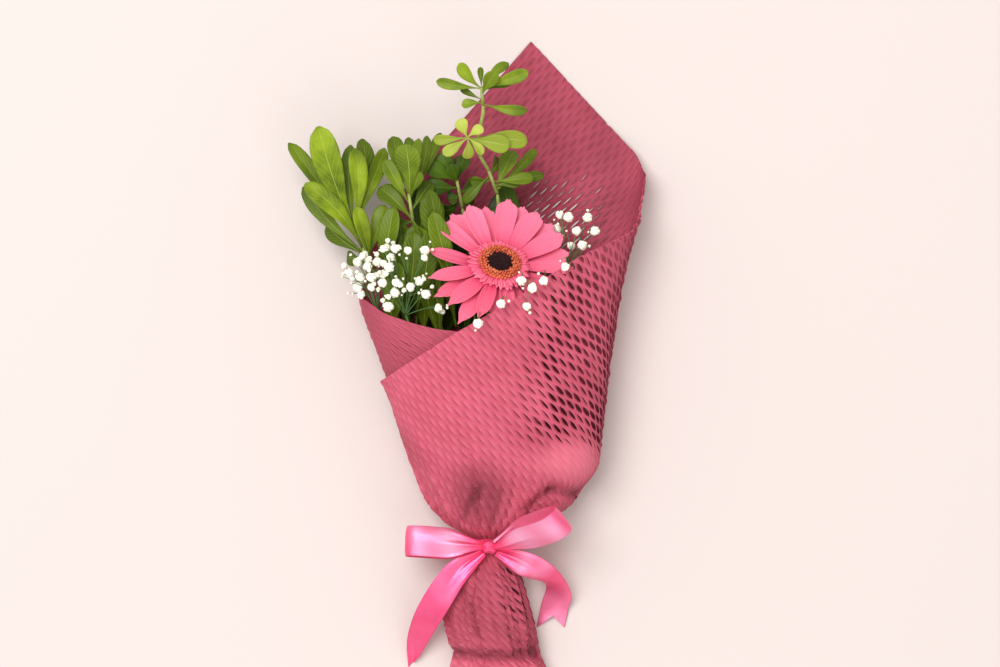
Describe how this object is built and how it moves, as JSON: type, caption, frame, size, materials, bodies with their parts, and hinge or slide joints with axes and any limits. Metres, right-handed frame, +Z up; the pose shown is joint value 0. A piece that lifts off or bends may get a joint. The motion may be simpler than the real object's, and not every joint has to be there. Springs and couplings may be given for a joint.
{
  "type": "wrapped gerbera bouquet",
  "caption": "Cut pink gerbera with leafy sprigs and baby's breath, rolled in honeycomb paper and tied with a satin bow, lying on its back.",
  "frame": {"origin": "bottom centre of the bounding box, on the surface the bouquet lies on", "axes": "+Y along the bouquet from the cut ends of the stems to the peak of the paper, +Z up, away from the surface, the way the front of the bouquet faces, +X to its right seen from the front"},
  "size_m": [0.257, 0.4568, 0.1112],
  "materials": {
    "honeycomb_paper": "matt honeycomb-cut wrapping paper, dusty rose",
    "satin_ribbon": "satin",
    "petal": "soft, slightly waxy petal",
    "inner_rays": "soft",
    "disc_florets": "fine, matt",
    "flower_eye": "velvety, matt",
    "green_stem": "smooth, faintly hairy",
    "leaf": "glossy leaf",
    "young_leaf": "glossy young leaf",
    "twig": "smooth green twig",
    "white_spray": "matt white florets on thin green stems",
    "rubber_band": "matt"
  },
  "bodies": {
    "root": {"paper_wrap": "honeycomb_paper", "stem_rubber_band": "rubber_band", "gerbera_bracts": "green_stem", "gerbera_stem": "green_stem", "gerbera_eye": "flower_eye", "gerbera_disc_florets": "disc_florets", "gerbera_inner_rays": "inner_rays", "sprig_left_twig": "twig", "sprig_middle_twig": "twig", "sprig_dark_twig": "twig", "sprig_tall_twig": "twig", "sprig_tall_upper_twig": "twig", "sprig_left_leaves": "leaf", "sprig_middle_leaves": "leaf", "sprig_dark_leaves": "leaf", "sprig_tall_lower_leaves": "leaf", "sprig_tall_top_leaves": "leaf", "sprig_tall_rosette": "young_leaf", "gypsophila_outer_left": "white_spray", "gypsophila_inner_left": "white_spray", "gypsophila_right": "white_spray", "gypsophila_front": "white_spray", "ribbon_band": "satin_ribbon", "ribbon_knot": "satin_ribbon", "ribbon_loop_left": "satin_ribbon", "ribbon_loop_right": "satin_ribbon", "ribbon_tail_left": "satin_ribbon", "ribbon_tail_right": "satin_ribbon", "gerbera_petal_01": "petal", "gerbera_petal_02": "petal", "gerbera_petal_03": "petal", "gerbera_petal_04": "petal", "gerbera_petal_05": "petal", "gerbera_petal_06": "petal", "gerbera_petal_07": "petal", "gerbera_petal_08": "petal", "gerbera_petal_09": "petal", "gerbera_petal_10": "petal", "gerbera_petal_11": "petal", "gerbera_petal_12": "petal", "gerbera_petal_13": "petal", "gerbera_petal_14": "petal", "gerbera_petal_15": "petal", "gerbera_petal_16": "petal", "gerbera_petal_17": "petal", "gerbera_petal_18": "petal", "gerbera_petal_19": "petal", "gerbera_petal_20": "petal", "gerbera_petal_21": "petal", "gerbera_petal_22": "petal"}
  },
  "joints": []
}
